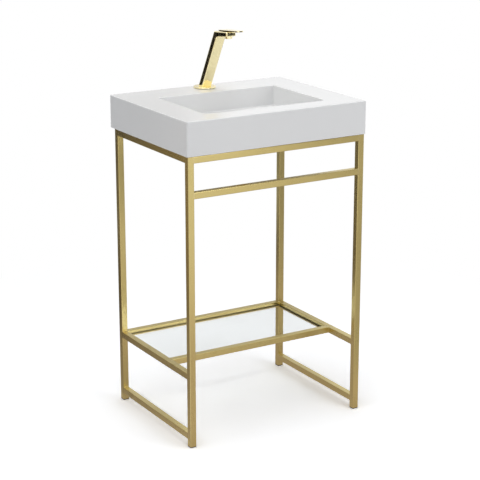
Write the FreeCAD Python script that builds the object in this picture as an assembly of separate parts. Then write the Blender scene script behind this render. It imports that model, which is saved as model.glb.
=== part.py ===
import FreeCAD, Part
import math
import os

# Console sink: a rectangular ceramic basin with a slanted single-lever tap,
# standing on a welded square-tube frame with a towel bar and a glass shelf.
# Millimetres. X points right, the front faces -Y, Z points up from the floor.
# The origin lies on the floor below the centre of the basin.

V = FreeCAD.Vector

# --- frame ---------------------------------------------------------------
tube = 18.0                  # outer side of the square tube
tube_wall = 1.5
tube_corner = 1.6            # outer corner radius of the tube
frame_height = 807.0         # floor to the top of the rails under the basin
side_setback = 3.5           # basin side to the outer faces of the legs
front_setback = 2.0          # basin front to the front faces of the legs
back_setback = 19.0          # basin back to the rear faces of the legs
towel_bar_drop = 77.0        # clear gap between the front rail and the towel bar
shelf_rail_top = 211.0
shelf_front_setback = 130.0  # leg front to the front face of the front shelf rail
foot_rail_top = 39.0

# --- foot caps -----------------------------------------------------------
foot_cap_flange = 2.5
foot_cap_plug = 14.0
foot_cap_clearance = 0.1     # plug to the tube's bore, each side
foot_cap_rib_bore = 9.0

# --- glass shelf ---------------------------------------------------------
glass_thickness = 5.0
glass_gap = 1.5              # glass edge to the rails, each side
glass_corner = 2.0
glass_arris = 0.6
ledge_bar_reach = 5.0        # flat bars inside the shelf rails, below the glass
ledge_bar_thickness = 3.0
strip_width = 3.5            # rubber strips between the bars and the glass
strip_thickness = 1.0
strip_inset = 0.5            # strip to the bar's free edge
strip_end_gap = 1.0          # strip end to the next strip

# --- basin ---------------------------------------------------------------
basin_width = 560.0
basin_depth = 440.0
basin_height = 92.0
basin_corner = 3.5           # upright outer edges
basin_edge = 2.5             # rounding of the top edges
deck_thickness = 14.0
skirt_wall = 16.0
ledge_reach = 26.0           # ledge inside the rear skirt, over the back rail
ledge_height = 16.0
pad_thickness = 1.0          # silicone pads between frame and basin
pad_length = 40.0
pad_width = 10.0
pad_corner = 2.0
pad_end_distance = 70.0      # pad centre to the nearest frame corner

bowl_side_rim = 93.0         # basin side to the bowl opening
bowl_front_rim = 64.0
bowl_rear_deck = 112.0       # behind the bowl, where the tap stands
bowl_depth = 57.0            # at the foot of the bowl walls
bowl_fall = 6.0              # further fall of the floor to the drain seat
bowl_draft = 3.0             # each wall leans in by this at its foot
bowl_corner = 4.0
bowl_floor_radius = 3.0
bowl_edge = 1.5
bowl_shell = 11.0            # thickness of the bowl's walls and floor

# --- drain ---------------------------------------------------------------
drain_hole = 45.0
drain_seat_diameter = 67.0
drain_seat_depth = 3.0
drain_seat_corner = 32.0     # of the sloped floor where it meets the round seat
drain_flange_diameter = 64.0
drain_flange_thickness = 2.5
drain_flange_edge = 1.5
drain_flange_seal = 1.0
drain_body_diameter = 41.5
drain_body_bore = 36.0
drain_body_length = 64.0     # below the flange
drain_socket_length = 15.0   # threaded socket at the foot of the body
under_gasket_thickness = 4.0
under_gasket_diameter = 60.0
drain_nut_height = 10.0
drain_nut_flats = 54.0
tailpiece_diameter = 31.75
tailpiece_wall = 1.4
tailpiece_length = 27.0      # below the body
tailpiece_thread = 33.2      # its upper end, screwed into the socket
thread_clearance = 0.05      # radial, between mating threads
slide_clearance = 0.08       # radial, round the stopper's stem

stopper_cap_diameter = 58.0
stopper_cap_height = 4.5
stopper_cap_crown = 1.2
stopper_gap = 0.4            # cap to flange when closed
stopper_plug_diameter = 34.0
stopper_plug_height = 8.0
stopper_ring_section = 2.0
stopper_ring_clearance = 0.35
stopper_stem_diameter = 8.0
stopper_stem_length = 44.0
guide_height = 20.0
guide_wall = 1.6
guide_hub_wall = 2.5
guide_spoke = 2.4
guide_spokes = 3
guide_depth = 14.0           # below the drain flange

# --- tap -----------------------------------------------------------------
tap_setback = 42.0           # basin back to the tap's axis
tap_hole = 35.0
tap_base_diameter = 64.0
tap_base_thickness = 4.0
tap_base_edge = 1.2
tap_gasket_thickness = 1.0
tap_gasket_inset = 2.0
tap_gasket_clearance = 0.5   # radial, round the shank
tap_boss_length = 10.0
port_diameter = 8.6          # tapping size of the M10 hose ports
port_spacing = 12.4
shank_diameter = 33.0
shank_bore = 26.0
shank_length = 52.0
tap_washer_diameter = 46.0
tap_rubber_thickness = 3.0
tap_steel_thickness = 1.6
tap_nut_flats = 41.0
tap_nut_height = 9.0

post_width = 30.5
post_thickness = 20.0        # square to its length
post_lean = 28.3             # degrees from upright, towards the bowl
post_edge = 3.0
post_foot_offset = 10.4      # tap axis to the post's rear face, at the base
head_rise = 172.3            # basin top to the head's rear top edge
head_length = 69.0           # rear top edge to the head's front
head_top_tilt = 4.4          # degrees, rising to the front
head_under_tilt = 7.3
head_front_thickness = 13.2
head_front_corner = 3.5
head_rear_radius = 6.0
head_inner_radius = 13.0
waterway_diameter = 5.0

aerator_setback = 13.6       # head front to the aerator's axis
aerator_diameter = 20.0
aerator_height = 6.0
aerator_thread = 16.8
aerator_thread_length = 6.0
aerator_end_gap = 0.3        # thread end to the bottom of its hole
aerator_bore = 13.6
aerator_edge = 0.8
aerator_insert_height = 8.0
aerator_insert_recess = 0.8  # screen above the housing's mouth
aerator_hole = 1.2
aerator_rings = 3

cartridge_setback = 34.0     # head rear top edge to the cartridge's axis
cartridge_diameter = 17.0
cartridge_pocket = 11.0
cartridge_height = 5.6
cartridge_floor = 1.9
cartridge_ring_height = 2.0
cartridge_ring_bore = 12.4
spindle_diameter = 7.0
spindle_tongue = 3.4
spindle_tongue_length = 5.4
lift_axis_depth = 1.6        # below the head's top
lift_pin_diameter = 2.0
lift_pin_length = 8.4
pin_clearance = 0.04

lever_gap = 1.0              # lever to the head's top
lever_thickness = 3.6
lever_tail = 9.5             # cartridge axis to the lever's rear end
lever_reach = 86.0           # cartridge axis to the lever's front end
lever_front_width = 19.0
lever_front_corner = 5.0
lever_rear_corner = 2.0
lever_edge = 0.5
lever_relief_length = 7.8    # rear underside, cut back for the lift
lever_relief_height = 2.5
lever_hub_width = 8.6
lever_hub_radius = 3.0
lever_fork_clearance = 0.15

# --- levels and lines that follow ---------------------------------------
half = tube / 2
basin_front = -basin_depth / 2
basin_back = basin_depth / 2
leg_x = basin_width / 2 - side_setback - half
leg_front_y = basin_front + front_setback + half
leg_back_y = basin_back - back_setback - half
frame_inner_x = leg_x - half
frame_inner_front = leg_front_y + half
frame_inner_back = leg_back_y - half
towel_bar_top = frame_height - tube - towel_bar_drop
shelf_rail_bottom = shelf_rail_top - tube
shelf_front_face = leg_front_y - half + shelf_front_setback
shelf_inner_front = shelf_front_face + tube
ledge_bar_top = shelf_rail_bottom + ledge_bar_thickness
glass_bottom = ledge_bar_top + strip_thickness

basin_bottom = frame_height + pad_thickness
basin_top = basin_bottom + basin_height
bowl_width = basin_width - 2 * bowl_side_rim
bowl_length = basin_depth - bowl_front_rim - bowl_rear_deck
bowl_y = basin_front + bowl_front_rim + bowl_length / 2
drain_seat = basin_top - bowl_depth - bowl_fall - drain_seat_depth
bowl_underside = drain_seat - bowl_shell + drain_seat_depth

flange_bottom = drain_seat + drain_flange_seal
flange_top = flange_bottom + drain_flange_thickness
body_foot = flange_bottom - drain_body_length
tailpiece_top = body_foot + drain_socket_length
cap_bottom = flange_top + stopper_gap
plug_bottom = cap_bottom - stopper_plug_height

tap_y = basin_back - tap_setback
base_bottom = basin_top + tap_gasket_thickness
base_top = base_bottom + tap_base_thickness
deck_underside = basin_top - deck_thickness
lean = math.tan(math.radians(post_lean))
post_run = post_thickness / math.cos(math.radians(post_lean))
post_rear_y = tap_y + post_foot_offset
head_rear_z = basin_top + head_rise
head_rear_y = post_rear_y - lean * (head_rear_z - base_top)
head_front_y = head_rear_y - head_length
lever_rear_width = post_width          # flush with the head
top_slope = math.tan(math.radians(head_top_tilt))
under_slope = math.tan(math.radians(head_under_tilt))
head_front_top = head_rear_z + top_slope * head_length
head_front_under = head_front_top - head_front_thickness
lift_axis = -lift_axis_depth


# --- shared shapes -------------------------------------------------------
def box(x0, x1, y0, y1, z0, z1):
    return Part.makeBox(x1 - x0, y1 - y0, z1 - z0, V(x0, y0, z0))


def cylinder(diameter, z0, z1, x=0.0, y=0.0):
    return Part.makeCylinder(diameter / 2, z1 - z0, V(x, y, z0))


def ring(outer, bore, z0, z1, x=0.0, y=0.0):
    return cylinder(outer, z0, z1, x, y).cut(cylinder(bore, z0, z1, x, y))


def rounded_wire(width, length, radius, z=0.0, x=0.0, y=0.0):
    """A rectangle with arcs at its corners, centred on x, y."""
    a = width / 2
    b = length / 2
    c = radius * (1 - math.sqrt(0.5))
    corners = [(1, 1), (-1, 1), (-1, -1), (1, -1)]
    edges = []
    for i, (sx, sy) in enumerate(corners):
        along_y = V(x + sx * a, y + sy * (b - radius), z)
        along_x = V(x + sx * (a - radius), y + sy * b, z)
        middle = V(x + sx * (a - c), y + sy * (b - c), z)
        first, last = (along_y, along_x) if sx == sy else (along_x, along_y)
        edges.append(Part.Arc(first, middle, last).toShape())
        nx, ny = corners[(i + 1) % 4]
        if nx == ny:
            following = V(x + nx * a, y + ny * (b - radius), z)
        else:
            following = V(x + nx * (a - radius), y + ny * b, z)
        edges.append(Part.makeLine(last, following))
    return Part.Wire(edges)


def rounded_block(width, length, radius, z0, z1, x=0.0, y=0.0):
    face = Part.Face(rounded_wire(width, length, radius, z0, x, y))
    return face.extrude(V(0, 0, z1 - z0))


def polygon_wire(points):
    closed = points + points[:1]
    return Part.makePolygon([V(*p) for p in closed])


def hexagon(flats, z0, z1, x=0.0, y=0.0):
    radius = flats / math.sqrt(3)
    turns = [math.radians(60 * i) for i in range(6)]
    points = [(x + radius * math.cos(t), y + radius * math.sin(t), z0) for t in turns]
    return Part.Face(polygon_wire(points)).extrude(V(0, 0, z1 - z0))


def edges_where(shape, test):
    """Edges whose middle point passes the test."""
    chosen = []
    for edge in shape.Edges:
        middle = edge.valueAt((edge.FirstParameter + edge.LastParameter) / 2)
        if test(middle):
            chosen.append(edge)
    return chosen


def near(a, b):
    return abs(a - b) < 0.01


def round_at_level(shape, level, radius):
    flat = [e for e in shape.Edges if all(near(v.Z, level) for v in e.Vertexes)]
    return shape.makeFillet(radius, flat)


def turned(shape, axis, degrees, about=V(0, 0, 0)):
    moved = shape.copy()
    moved.rotate(about, axis, degrees)
    return moved


def shifted(shape, x, y, z):
    moved = shape.copy()
    moved.translate(V(x, y, z))
    return moved


# --- frame ---------------------------------------------------------------
def tube_along_z(length):
    outer = rounded_block(tube, tube, tube_corner, 0, length)
    bore = tube - 2 * tube_wall
    return outer.cut(box(-bore / 2, bore / 2, -bore / 2, bore / 2, 0, length))


def upright(x, y):
    return shifted(tube_along_z(frame_height - foot_cap_flange), x, y, foot_cap_flange)


def cross_tube(x0, x1, y, top):
    lying = turned(tube_along_z(x1 - x0), V(0, 1, 0), 90)
    return shifted(lying, x0, y, top - half)


def depth_tube(x, y0, y1, top):
    lying = turned(tube_along_z(y1 - y0), V(1, 0, 0), -90)
    return shifted(lying, x, y0, top - half)


def foot_cap(x, y):
    plug = tube - 2 * tube_wall - 2 * foot_cap_clearance
    cap = rounded_block(tube, tube, tube_corner, 0, foot_cap_flange, x, y)
    cap = cap.fuse(box(x - plug / 2, x + plug / 2, y - plug / 2, y + plug / 2,
                       foot_cap_flange, foot_cap_flange + foot_cap_plug))
    hollow = cylinder(foot_cap_rib_bore, foot_cap_flange, foot_cap_flange + foot_cap_plug, x, y)
    return cap.cut(hollow)


def leg_places():
    return {
        "front_left": (-leg_x, leg_front_y),
        "front_right": (leg_x, leg_front_y),
        "back_left": (-leg_x, leg_back_y),
        "back_right": (leg_x, leg_back_y),
    }


def frame_parts():
    parts = {}
    for name, (x, y) in leg_places().items():
        parts["leg_" + name] = upright(x, y)
    inner = frame_inner_x
    parts["top_rail_front"] = cross_tube(-inner, inner, leg_front_y, frame_height)
    parts["top_rail_back"] = cross_tube(-inner, inner, leg_back_y, frame_height)
    parts["towel_bar"] = cross_tube(-inner, inner, leg_front_y, towel_bar_top)
    parts["shelf_rail_back"] = cross_tube(-inner, inner, leg_back_y, shelf_rail_top)
    shelf_front_y = shelf_front_face + half
    parts["shelf_rail_front"] = cross_tube(-inner, inner, shelf_front_y, shelf_rail_top)
    for side, x in (("left", -leg_x), ("right", leg_x)):
        for name, top in (("top_rail_", frame_height), ("shelf_rail_", shelf_rail_top),
                          ("foot_rail_", foot_rail_top)):
            parts[name + side] = depth_tube(x, frame_inner_front, frame_inner_back, top)
    parts["foot_caps"] = Part.makeCompound([foot_cap(x, y) for x, y in leg_places().values()])
    return parts


# --- glass shelf ---------------------------------------------------------
def shelf_size():
    width = 2 * (frame_inner_x - glass_gap)
    length = frame_inner_back - shelf_inner_front - 2 * glass_gap
    return width, length


def shelf_middle_y():
    return (frame_inner_back + shelf_inner_front) / 2


def glass_shelf():
    width, length = shelf_size()
    sheet = rounded_block(width, length, glass_corner, glass_bottom,
                          glass_bottom + glass_thickness, 0, shelf_middle_y())
    flat = [e for e in sheet.Edges
            if near(e.BoundBox.ZMin, e.BoundBox.ZMax)]
    return sheet.makeChamfer(glass_arris, flat)


def ring_of_bars(inset, width, z0, z1, end_gap):
    """Four bars inside the shelf rails: two along the sides, and two between those."""
    outer_x = frame_inner_x - inset
    inner_x = outer_x - width
    front = shelf_inner_front + inset
    back = frame_inner_back - inset
    cross_x = inner_x - end_gap
    return Part.makeCompound([
        box(-outer_x, -inner_x, front, back, z0, z1),
        box(inner_x, outer_x, front, back, z0, z1),
        box(-cross_x, cross_x, front, front + width, z0, z1),
        box(-cross_x, cross_x, back - width, back, z0, z1),
    ])


def shelf_parts():
    strip_from_rail = ledge_bar_reach - strip_inset - strip_width
    return {
        "glass_shelf": glass_shelf(),
        "shelf_ledges": ring_of_bars(0, ledge_bar_reach, shelf_rail_bottom, ledge_bar_top, 0),
        "shelf_strips": ring_of_bars(strip_from_rail, strip_width, ledge_bar_top, glass_bottom,
                                     strip_end_gap),
    }


# --- basin ---------------------------------------------------------------
def bowl_cavity():
    foot = basin_top - bowl_depth
    rim = rounded_wire(bowl_width, bowl_length, bowl_corner, basin_top, 0, bowl_y)
    base = rounded_wire(bowl_width - 2 * bowl_draft, bowl_length - 2 * bowl_draft,
                        bowl_corner, foot, 0, bowl_y)
    cavity = Part.makeLoft([rim, base], True, True)
    cavity = round_at_level(cavity, foot, bowl_floor_radius)
    inset = 2 * (bowl_draft + bowl_floor_radius)
    slope_rim = rounded_wire(bowl_width - inset, bowl_length - inset, bowl_corner, foot, 0, bowl_y)
    slope_foot = rounded_wire(drain_seat_diameter, drain_seat_diameter,
                              drain_seat_corner, foot - bowl_fall, 0, bowl_y)
    return cavity.fuse(Part.makeLoft([slope_rim, slope_foot], True, True))


def bowl_outside():
    width = bowl_width + 2 * bowl_shell
    length = bowl_length + 2 * bowl_shell
    corner = bowl_corner + bowl_shell
    rim = rounded_wire(width, length, corner, deck_underside, 0, bowl_y)
    foot = rounded_wire(width - 2 * bowl_draft, length - 2 * bowl_draft, corner,
                        bowl_underside, 0, bowl_y)
    shell = Part.makeLoft([rim, foot], True, True)
    return round_at_level(shell, bowl_underside, bowl_floor_radius)


def basin():
    block = rounded_block(basin_width, basin_depth, basin_corner, basin_bottom, basin_top)
    block = round_at_level(block, basin_top, basin_edge)
    hollow = rounded_block(basin_width - 2 * skirt_wall, basin_depth - 2 * skirt_wall,
                           skirt_wall, basin_bottom, deck_underside)
    inner_back = basin_back - skirt_wall
    ledge = box(-basin_width / 2, basin_width / 2, inner_back - ledge_reach, basin_back,
                basin_bottom, basin_bottom + ledge_height)
    hollow = hollow.cut(ledge).cut(bowl_outside())
    shape = block.cut(hollow).cut(bowl_cavity())
    opening = edges_where(shape, lambda p: near(p.z, basin_top)
                          and near_bowl_rim(p.x, p.y))
    shape = shape.makeFillet(bowl_edge, opening)
    seat = cylinder(drain_seat_diameter, drain_seat, basin_top - bowl_depth, 0, bowl_y)
    shape = shape.cut(seat)
    shape = shape.cut(cylinder(drain_hole, basin_bottom, basin_top, 0, bowl_y))
    return shape.cut(cylinder(tap_hole, basin_bottom, basin_top + 1, 0, tap_y))


def near_bowl_rim(x, y):
    inside_x = abs(x) <= bowl_width / 2 + 0.01
    inside_y = abs(y - bowl_y) <= bowl_length / 2 + 0.01
    return inside_x and inside_y


def basin_pads():
    """Thin silicone strips on the rails, below the skirt and the rear ledge."""
    z0 = frame_height
    z1 = basin_bottom
    end_x = frame_inner_x - pad_end_distance
    rail_edge = leg_x + half - pad_width / 2
    front_y = leg_front_y - half + pad_width / 2
    side_y = (frame_inner_front + pad_end_distance, frame_inner_back - pad_end_distance)
    pads = []
    for x in (-end_x, end_x):
        for y in (front_y, leg_back_y):
            pads.append(rounded_block(pad_length, pad_width, pad_corner, z0, z1, x, y))
    for x in (-rail_edge, rail_edge):
        for y in side_y:
            pads.append(rounded_block(pad_width, pad_length, pad_corner, z0, z1, x, y))
    return Part.makeCompound(pads)


# --- drain ---------------------------------------------------------------
def drain_body():
    flange = ring(drain_flange_diameter, drain_body_bore, flange_bottom, flange_top, 0, bowl_y)
    rim = [e for e in flange.Edges if near(e.BoundBox.ZMin, flange_top)
           and e.BoundBox.XLength > drain_body_diameter]
    flange = flange.makeFillet(drain_flange_edge, rim)
    barrel = ring(drain_body_diameter, drain_body_bore, tailpiece_top, flange_bottom, 0, bowl_y)
    socket_bore = tailpiece_thread + 2 * thread_clearance
    socket = ring(drain_body_diameter, socket_bore, body_foot, tailpiece_top, 0, bowl_y)
    return flange.fuse([barrel, socket]).removeSplitter()


def drain_guide():
    """A ring held in the drain body, with spokes and a hub for the stopper's stem."""
    top = flange_bottom - guide_depth
    foot = top - guide_height
    outer = drain_body_bore - 2 * thread_clearance
    hub = stopper_stem_diameter + 2 * (slide_clearance + guide_hub_wall)
    shape = ring(outer, outer - 2 * guide_wall, foot, top)
    shape = shape.fuse(cylinder(hub, foot, top))
    reach = outer / 2 - guide_wall / 2
    for i in range(guide_spokes):
        spoke = box(0, reach, -guide_spoke / 2, guide_spoke / 2, foot, top)
        shape = shape.fuse(turned(spoke, V(0, 0, 1), 360 / guide_spokes * i))
    bore = cylinder(stopper_stem_diameter + 2 * slide_clearance, foot, top)
    return shifted(shape.cut(bore).removeSplitter(), 0, bowl_y, 0)


def stopper():
    cap = cylinder(stopper_cap_diameter, cap_bottom, cap_bottom + stopper_cap_height)
    edge = [e for e in cap.Edges if near(e.BoundBox.ZMin, cap_bottom + stopper_cap_height)]
    cap = cap.makeFillet(stopper_cap_crown, edge)
    plug = cylinder(stopper_plug_diameter, plug_bottom, cap_bottom)
    groove_level = plug_bottom + stopper_plug_height / 2
    groove = Part.makeTorus(ring_centre_radius(), stopper_ring_section / 2, V(0, 0, groove_level))
    stem = cylinder(stopper_stem_diameter, plug_bottom - stopper_stem_length, plug_bottom)
    shape = cap.fuse([plug, stem]).removeSplitter().cut(groove)
    return shifted(shape, 0, bowl_y, 0)


def ring_centre_radius():
    outer = drain_body_bore / 2 - stopper_ring_clearance
    return outer - stopper_ring_section / 2


def stopper_ring():
    level = plug_bottom + stopper_plug_height / 2
    return Part.makeTorus(ring_centre_radius(), stopper_ring_section / 2, V(0, bowl_y, level))


def tailpiece():
    outer = cylinder(tailpiece_diameter, body_foot - tailpiece_length, body_foot, 0, bowl_y)
    outer = outer.fuse(cylinder(tailpiece_thread, body_foot, tailpiece_top, 0, bowl_y))
    bore = tailpiece_diameter - 2 * tailpiece_wall
    return outer.cut(cylinder(bore, body_foot - tailpiece_length, tailpiece_top, 0, bowl_y))


def drain_parts():
    loose = drain_body_diameter + 2 * thread_clearance
    gasket_bottom = bowl_underside - under_gasket_thickness
    nut_bottom = gasket_bottom - drain_nut_height
    nut = hexagon(drain_nut_flats, nut_bottom, gasket_bottom, 0, bowl_y)
    return {
        "drain_body": drain_body(),
        "drain_flange_seal": ring(drain_flange_diameter, drain_hole, drain_seat,
                                  flange_bottom, 0, bowl_y),
        "drain_gasket": ring(under_gasket_diameter, loose, gasket_bottom,
                             bowl_underside, 0, bowl_y),
        "drain_nut": nut.cut(cylinder(loose, nut_bottom, gasket_bottom, 0, bowl_y)),
        "drain_tailpiece": tailpiece(),
        "drain_guide": drain_guide(),
        "drain_stopper": stopper(),
        "stopper_ring": stopper_ring(),
    }


# --- tap -----------------------------------------------------------------
def head_top_z(y):
    return head_rear_z + top_slope * (head_rear_y - y)


def head_under_z(y):
    return head_front_under - under_slope * (y - head_front_y)


def post_front_y(z):
    return post_rear_y - post_run - lean * (z - base_top)


def on_head(shape):
    """Places a shape made about the cartridge's axis, with its z = 0 on the head's top."""
    y = head_rear_y - cartridge_setback
    return shifted(turned(shape, V(1, 0, 0), -head_top_tilt), 0, y, head_top_z(y))


def at_spout(shape):
    """Places a shape made about the aerator's axis, with its z = 0 on the head's underside."""
    y = head_front_y + aerator_setback
    return shifted(turned(shape, V(1, 0, 0), -head_under_tilt), 0, y, head_under_z(y))


def inner_corner():
    """Where the head's underside meets the post's front face."""
    a = post_front_y(0) - head_front_y
    z = (head_front_under - under_slope * a) / (1 - under_slope * lean)
    return post_front_y(z), z


def tap_outline():
    corner_y, corner_z = inner_corner()
    points = [
        (post_rear_y, base_top),
        (head_rear_y, head_rear_z),
        (head_front_y, head_front_top),
        (head_front_y, head_front_under),
        (corner_y, corner_z),
        (post_rear_y - post_run, base_top),
    ]
    x = -post_width / 2
    return Part.Face(polygon_wire([(x, y, z) for y, z in points]))


def waterway(start, end):
    length = end.sub(start)
    return Part.makeCylinder(waterway_diameter / 2, length.Length, start, length)


def waterways():
    """Two feeds up the post to the cartridge, and one way on to the aerator."""
    ways = []
    pocket_y = head_rear_y - cartridge_setback
    feed_y = post_rear_y - post_run / 2
    turn_z = head_rear_z - waterway_diameter - cartridge_ring_height
    turn_y = feed_y - lean * (turn_z - base_top)
    way_z = head_top_z(pocket_y) - cartridge_pocket + waterway_diameter / 2
    for side in (-1, 1):
        x = side * port_spacing / 2
        foot = V(x, feed_y, base_top)
        turn = V(x, turn_y, turn_z)
        ways.append(waterway(foot, turn))
        ways.append(waterway(turn, V(x, pocket_y, way_z)))
    spout_y = head_front_y + aerator_setback
    ways.append(waterway(V(0, pocket_y, way_z), V(0, spout_y, way_z)))
    return ways


def tap_body():
    corner_y, corner_z = inner_corner()
    shape = tap_outline().extrude(V(post_width, 0, 0))
    inner = edges_where(shape, lambda p: near(p.y, corner_y) and near(p.z, corner_z))
    shape = shape.makeFillet(head_inner_radius, inner)
    rear = edges_where(shape, lambda p: near(p.y, head_rear_y) and near(p.z, head_rear_z))
    shape = shape.makeFillet(head_rear_radius, rear)
    front = edges_where(shape, lambda p: near(p.y, head_front_y) and near(abs(p.x), post_width / 2))
    shape = shape.makeFillet(head_front_corner, front)
    outline = [e for e in shape.Edges
               if near(e.BoundBox.XMin, e.BoundBox.XMax)
               and not near(e.BoundBox.ZMax, base_top)]
    shape = shape.makeFillet(post_edge, outline)
    pocket = on_head(cylinder(cartridge_diameter + 2 * thread_clearance, -cartridge_pocket, 1))
    thread = at_spout(cylinder(aerator_thread + 2 * thread_clearance, -1, aerator_thread_length))
    shape = shape.cut(pocket).cut(thread)
    for way in waterways():
        shape = shape.cut(way)
    return shape


def tap_base():
    disc = cylinder(tap_base_diameter, base_bottom, base_top)
    rim = [e for e in disc.Edges if near(e.BoundBox.ZMin, base_top)]
    disc = disc.makeFillet(tap_base_edge, rim)
    boss_foot = base_bottom - tap_boss_length
    boss = cylinder(shank_bore - 2 * thread_clearance, boss_foot, base_bottom)
    shape = disc.fuse(boss)
    for side in (-1, 1):
        shape = shape.cut(cylinder(port_diameter, boss_foot, base_bottom, side * port_spacing / 2))
    shape = shifted(shape, 0, tap_y, 0)
    feed_y = post_rear_y - post_run / 2
    for side in (-1, 1):
        x = side * port_spacing / 2
        shape = shape.cut(waterway(V(x, tap_y, base_bottom - 1), V(x, feed_y, base_top + 0.1)))
    return shape


def tap_fixings():
    rubber_bottom = deck_underside - tap_rubber_thickness
    steel_bottom = rubber_bottom - tap_steel_thickness
    nut_bottom = steel_bottom - tap_nut_height
    loose = shank_diameter + 2 * thread_clearance
    gasket = tap_base_diameter - 2 * tap_gasket_inset
    nut = hexagon(tap_nut_flats, nut_bottom, steel_bottom, 0, tap_y)
    return {
        "tap_gasket": ring(gasket, shank_diameter + 2 * tap_gasket_clearance,
                           basin_top, base_bottom, 0, tap_y),
        "tap_shank": ring(shank_diameter, shank_bore, base_bottom - shank_length,
                          base_bottom, 0, tap_y),
        "tap_rubber_washer": ring(tap_washer_diameter, loose, rubber_bottom,
                                  deck_underside, 0, tap_y),
        "tap_steel_washer": ring(tap_washer_diameter, loose, steel_bottom,
                                 rubber_bottom, 0, tap_y),
        "tap_nut": nut.cut(cylinder(loose, nut_bottom, steel_bottom, 0, tap_y)),
    }


def cartridge():
    shape = cylinder(cartridge_diameter, -cartridge_pocket, cartridge_height - cartridge_pocket)
    bore = spindle_diameter + 2 * pin_clearance
    floor = cartridge_floor - cartridge_pocket
    shape = shape.cut(cylinder(bore, floor, cartridge_height - cartridge_pocket))
    return on_head(shape)


def cartridge_ring():
    foot = cartridge_height - cartridge_pocket
    return on_head(ring(cartridge_diameter, cartridge_ring_bore, foot, foot + cartridge_ring_height))


def spindle():
    """The cartridge's turning stem, with a flat tongue for the lever's fork."""
    foot = cartridge_floor - cartridge_pocket + pin_clearance
    shoulder = lift_axis - lever_hub_radius - lever_fork_clearance
    shape = cylinder(spindle_diameter, foot, shoulder)
    a = spindle_tongue / 2
    b = spindle_tongue_length / 2
    tongue = box(-a, a, -b, b, shoulder, lift_axis)
    crown = Part.makeCylinder(b, spindle_tongue, V(-a, 0, lift_axis), V(1, 0, 0))
    pin = Part.makeCylinder(lift_pin_diameter / 2 + pin_clearance, spindle_tongue,
                            V(-a, 0, lift_axis), V(1, 0, 0))
    return on_head(shape.fuse([tongue, crown]).removeSplitter().cut(pin))


def lever_plate():
    """The tapered blade, made flat with its underside at the lever gap."""
    front = -lever_reach
    rear = lever_tail
    a = lever_front_width / 2
    b = lever_rear_width / 2
    z = lever_gap
    outline = [(-b, rear, z), (b, rear, z), (a, front, z), (-a, front, z)]
    plate = Part.Face(polygon_wire(outline)).extrude(V(0, 0, lever_thickness))
    corners = edges_where(plate, lambda p: near(p.z, z + lever_thickness / 2) and near(p.y, front))
    plate = plate.makeFillet(lever_front_corner, corners)
    corners = edges_where(plate, lambda p: near(p.z, z + lever_thickness / 2) and near(p.y, rear))
    plate = plate.makeFillet(lever_rear_corner, corners)
    wedge = [(-b, rear, z), (-b, rear - lever_relief_length, z), (-b, rear, z + lever_relief_height)]
    plate = plate.cut(Part.Face(polygon_wire(wedge)).extrude(V(lever_rear_width, 0, 0)))
    top = [e for e in plate.Edges if near(e.BoundBox.ZMin, z + lever_thickness)]
    return plate.makeFillet(lever_edge, top)


def lever():
    a = lever_hub_width / 2
    axis = V(1, 0, 0)
    plate = lever_plate()
    hub = box(-a, a, -lever_hub_radius, lever_hub_radius, lift_axis, lever_gap)
    hub = hub.fuse(Part.makeCylinder(lever_hub_radius, lever_hub_width, V(-a, 0, lift_axis), axis))
    slot = spindle_tongue / 2 + lever_fork_clearance
    tongue_top = lift_axis + spindle_tongue_length / 2 + lever_fork_clearance
    gap = box(-slot, slot, -lever_hub_radius - 1, lever_hub_radius + 1,
              lift_axis - lever_hub_radius - 1, max(tongue_top, lever_gap))
    pin_hole = Part.makeCylinder(lift_pin_diameter / 2 + pin_clearance, lever_hub_width,
                                 V(-a, 0, lift_axis), axis)
    shape = plate.fuse(hub).removeSplitter().cut(gap).cut(pin_hole)
    return on_head(shape)


def lift_pin():
    return on_head(Part.makeCylinder(lift_pin_diameter / 2, lift_pin_length,
                                     V(-lift_pin_length / 2, 0, lift_axis), V(1, 0, 0)))


def aerator_housing():
    nose = cylinder(aerator_diameter, -aerator_height, 0)
    lower = [e for e in nose.Edges if near(e.BoundBox.ZMax, -aerator_height)]
    nose = nose.makeFillet(aerator_edge, lower)
    thread = cylinder(aerator_thread, 0, aerator_thread_length - aerator_end_gap)
    bore = cylinder(aerator_bore, -aerator_height, aerator_thread_length)
    return at_spout(nose.fuse(thread).removeSplitter().cut(bore))


def aerator_insert():
    """A perforated screen body inside the housing."""
    foot = aerator_insert_recess - aerator_height
    shape = cylinder(aerator_bore - 2 * thread_clearance, foot, foot + aerator_insert_height)
    pitch = aerator_bore / 2 / (aerator_rings + 0.7)
    holes = [cylinder(aerator_hole, foot, foot + aerator_insert_height)]
    for row in range(1, aerator_rings + 1):
        count = 6 * row
        for i in range(count):
            turn = math.radians(360 / count * i)
            holes.append(cylinder(aerator_hole, foot, foot + aerator_insert_height,
                                  row * pitch * math.cos(turn), row * pitch * math.sin(turn)))
    return at_spout(shape.cut(Part.makeCompound(holes)))


def tap_parts():
    parts = {
        "tap_body": tap_body(),
        "tap_base": tap_base(),
        "tap_cartridge": cartridge(),
        "cartridge_ring": cartridge_ring(),
        "tap_spindle": spindle(),
        "tap_lever": lever(),
        "lever_pin": lift_pin(),
        "aerator_housing": aerator_housing(),
        "aerator_insert": aerator_insert(),
    }
    parts.update(tap_fixings())
    return parts


# --- build ---------------------------------------------------------------
def main():
    os.makedirs("parts", exist_ok=True)
    parts = {"basin": basin(), "basin_pads": basin_pads()}
    parts.update(frame_parts())
    parts.update(shelf_parts())
    parts.update(drain_parts())
    parts.update(tap_parts())
    for name, shape in parts.items():
        shape.exportStep("parts/" + name + ".step")
        print(name, len(shape.Solids), shape.isValid(), round(shape.Volume))


main()
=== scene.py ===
import math

import bmesh
import bpy
from mathutils import Matrix, Vector


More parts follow.
